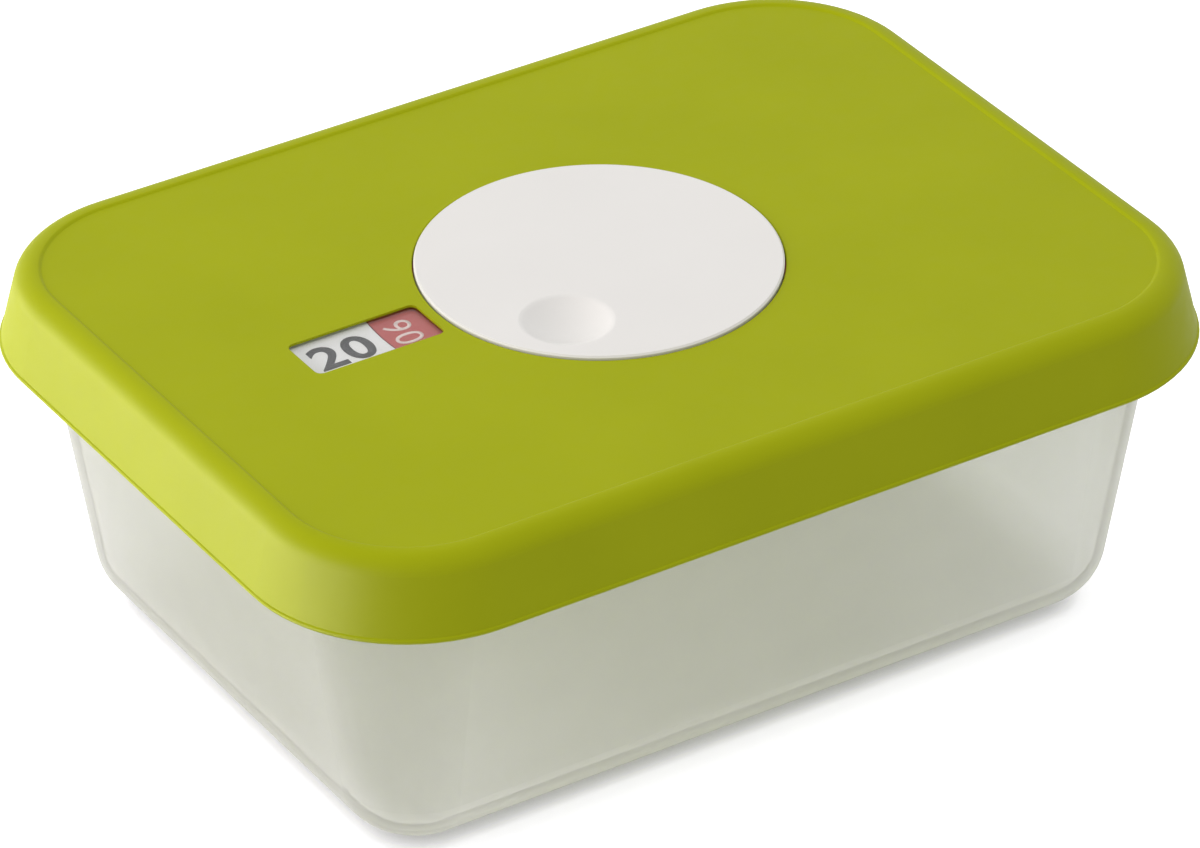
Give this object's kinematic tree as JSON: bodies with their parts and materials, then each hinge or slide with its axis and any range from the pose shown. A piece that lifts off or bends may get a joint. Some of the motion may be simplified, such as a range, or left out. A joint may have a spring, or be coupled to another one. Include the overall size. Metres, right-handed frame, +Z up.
{
  "type": "food canister",
  "caption": "Rectangular translucent food canister with a push-on lid, whose round dial sets a date shown in a small window.",
  "frame": {"origin": "middle of the base, on the plane the foot ring stands on", "axes": "+X along the long side, away from the date window; +Z up, the way the lid lifts off"},
  "size_m": [0.2102, 0.1578, 0.0789],
  "materials": {
    "tub_plastic": "translucent natural polypropylene, smooth with a soft gloss",
    "lid_plastic": "fine matt moulded, lime green",
    "lens_plastic": "clear, polished",
    "liner_plastic": "satin moulded, pale green",
    "seal_silicone": "soft matt, translucent white",
    "dial_plastic": "satin gloss, warm white",
    "month_plastic": "satin, red",
    "day_plastic": "satin, white"
  },
  "bodies": {
    "tub": {"tub": "tub_plastic"},
    "lid": {"lid_cover": "lid_plastic", "window_lens": "lens_plastic", "lid_liner": "liner_plastic", "lid_seal": "seal_silicone"},
    "day_wheel": {"day_ring": "day_plastic"},
    "dial": {"dial_knob": "dial_plastic", "month_disc": "month_plastic"}
  },
  "joints": [
    {"name": "lid_lift", "type": "slide", "parent": "tub", "child": "lid", "axis": [0, 0, 1], "range_m": [0, 0.06]},
    {"name": "day_turn", "type": "hinge", "parent": "lid", "child": "day_wheel", "pos_m": [0, 0, 0.075], "axis": [0, 0, 1], "continuous": true},
    {"name": "month_turn", "type": "hinge", "parent": "day_wheel", "child": "dial", "pos_m": [0, 0, 0.075], "axis": [0, 0, 1], "range_deg": [-171.5, 171.5]}
  ]
}
